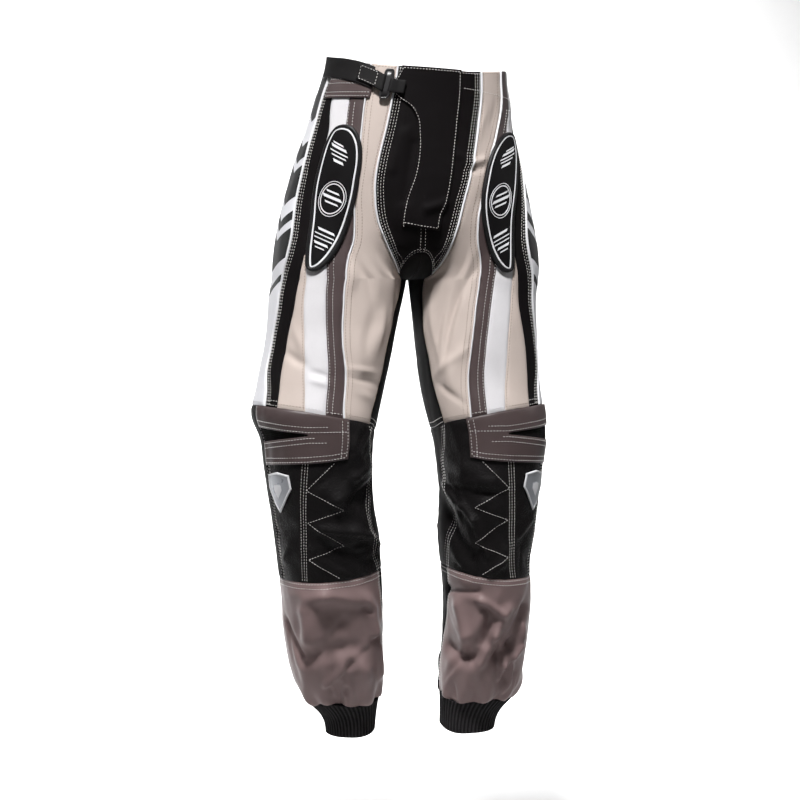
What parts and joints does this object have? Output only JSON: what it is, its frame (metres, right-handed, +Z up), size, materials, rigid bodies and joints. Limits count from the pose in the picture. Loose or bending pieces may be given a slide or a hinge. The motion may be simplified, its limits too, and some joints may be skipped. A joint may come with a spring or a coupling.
{
  "type": "motocross trousers",
  "caption": "Filled-out hollow motocross trousers with moulded hip pads, knee bands, leatherette knees and ribbed cuffs, held up at the waist.",
  "frame": {"origin": "centre of the waist opening, level with the top edge at the centre front", "axes": "+Z up, -Y out of the front, +X towards the wearer's left"},
  "size_m": [0.4438, 0.2481, 1.0206],
  "materials": {
    "black_cloth": "matt woven polyester, black",
    "leatherette": "semi-matt grained leatherette, black",
    "white_cloth": "woven polyester, white",
    "cream_cloth": "woven polyester, cream",
    "taupe_cloth": "slightly glossy woven polyester, taupe",
    "rubber": "moulded rubber, charcoal",
    "knit": "ribbed knit, black",
    "metal": "dark coated metal"
  },
  "bodies": {
    "root": {"front_yoke_right": "black_cloth", "front_yoke_left": "black_cloth", "rise_piping_right": "white_cloth", "rise_piping_left": "white_cloth", "front_cream_right": "cream_cloth", "front_cream_left": "cream_cloth", "thin_piping_right": "white_cloth", "thin_piping_left": "white_cloth", "taupe_stripe_right": "taupe_cloth", "taupe_stripe_left": "taupe_cloth", "white_stripe_right": "white_cloth", "white_stripe_left": "white_cloth", "cream_side_stripe_right": "cream_cloth", "cream_side_stripe_left": "cream_cloth", "black_side_right": "black_cloth", "black_side_left": "black_cloth", "side_piping_right": "white_cloth", "side_piping_left": "white_cloth", "side_panel_right": "white_cloth", "side_panel_left": "white_cloth", "seat_back_right": "black_cloth", "seat_back_left": "black_cloth", "inner_thigh_right": "black_cloth", "inner_thigh_left": "black_cloth", "knee_panel_right": "leatherette", "knee_panel_left": "leatherette", "knee_side_right": "leatherette", "knee_side_left": "leatherette", "knee_back_right": "black_cloth", "knee_back_left": "black_cloth", "knee_stretch_right": "black_cloth", "knee_stretch_left": "black_cloth", "knee_band_right": "taupe_cloth", "knee_band_left": "taupe_cloth", "calf_front_right": "taupe_cloth", "calf_front_left": "taupe_cloth", "calf_back_right": "black_cloth", "calf_back_left": "black_cloth", "cuff_right": "knit", "cuff_left": "knit", "hip_pad_right": "rubber", "hip_pad_left": "rubber", "badge_right": "white_cloth", "badge_left": "white_cloth", "fly_flap": "black_cloth", "back_waistband": "black_cloth", "waist_patch": "taupe_cloth", "belt_strap": "black_cloth", "belt_tab": "black_cloth", "belt_anchor": "black_cloth", "buckle_ring": "metal"}
  },
  "joints": []
}
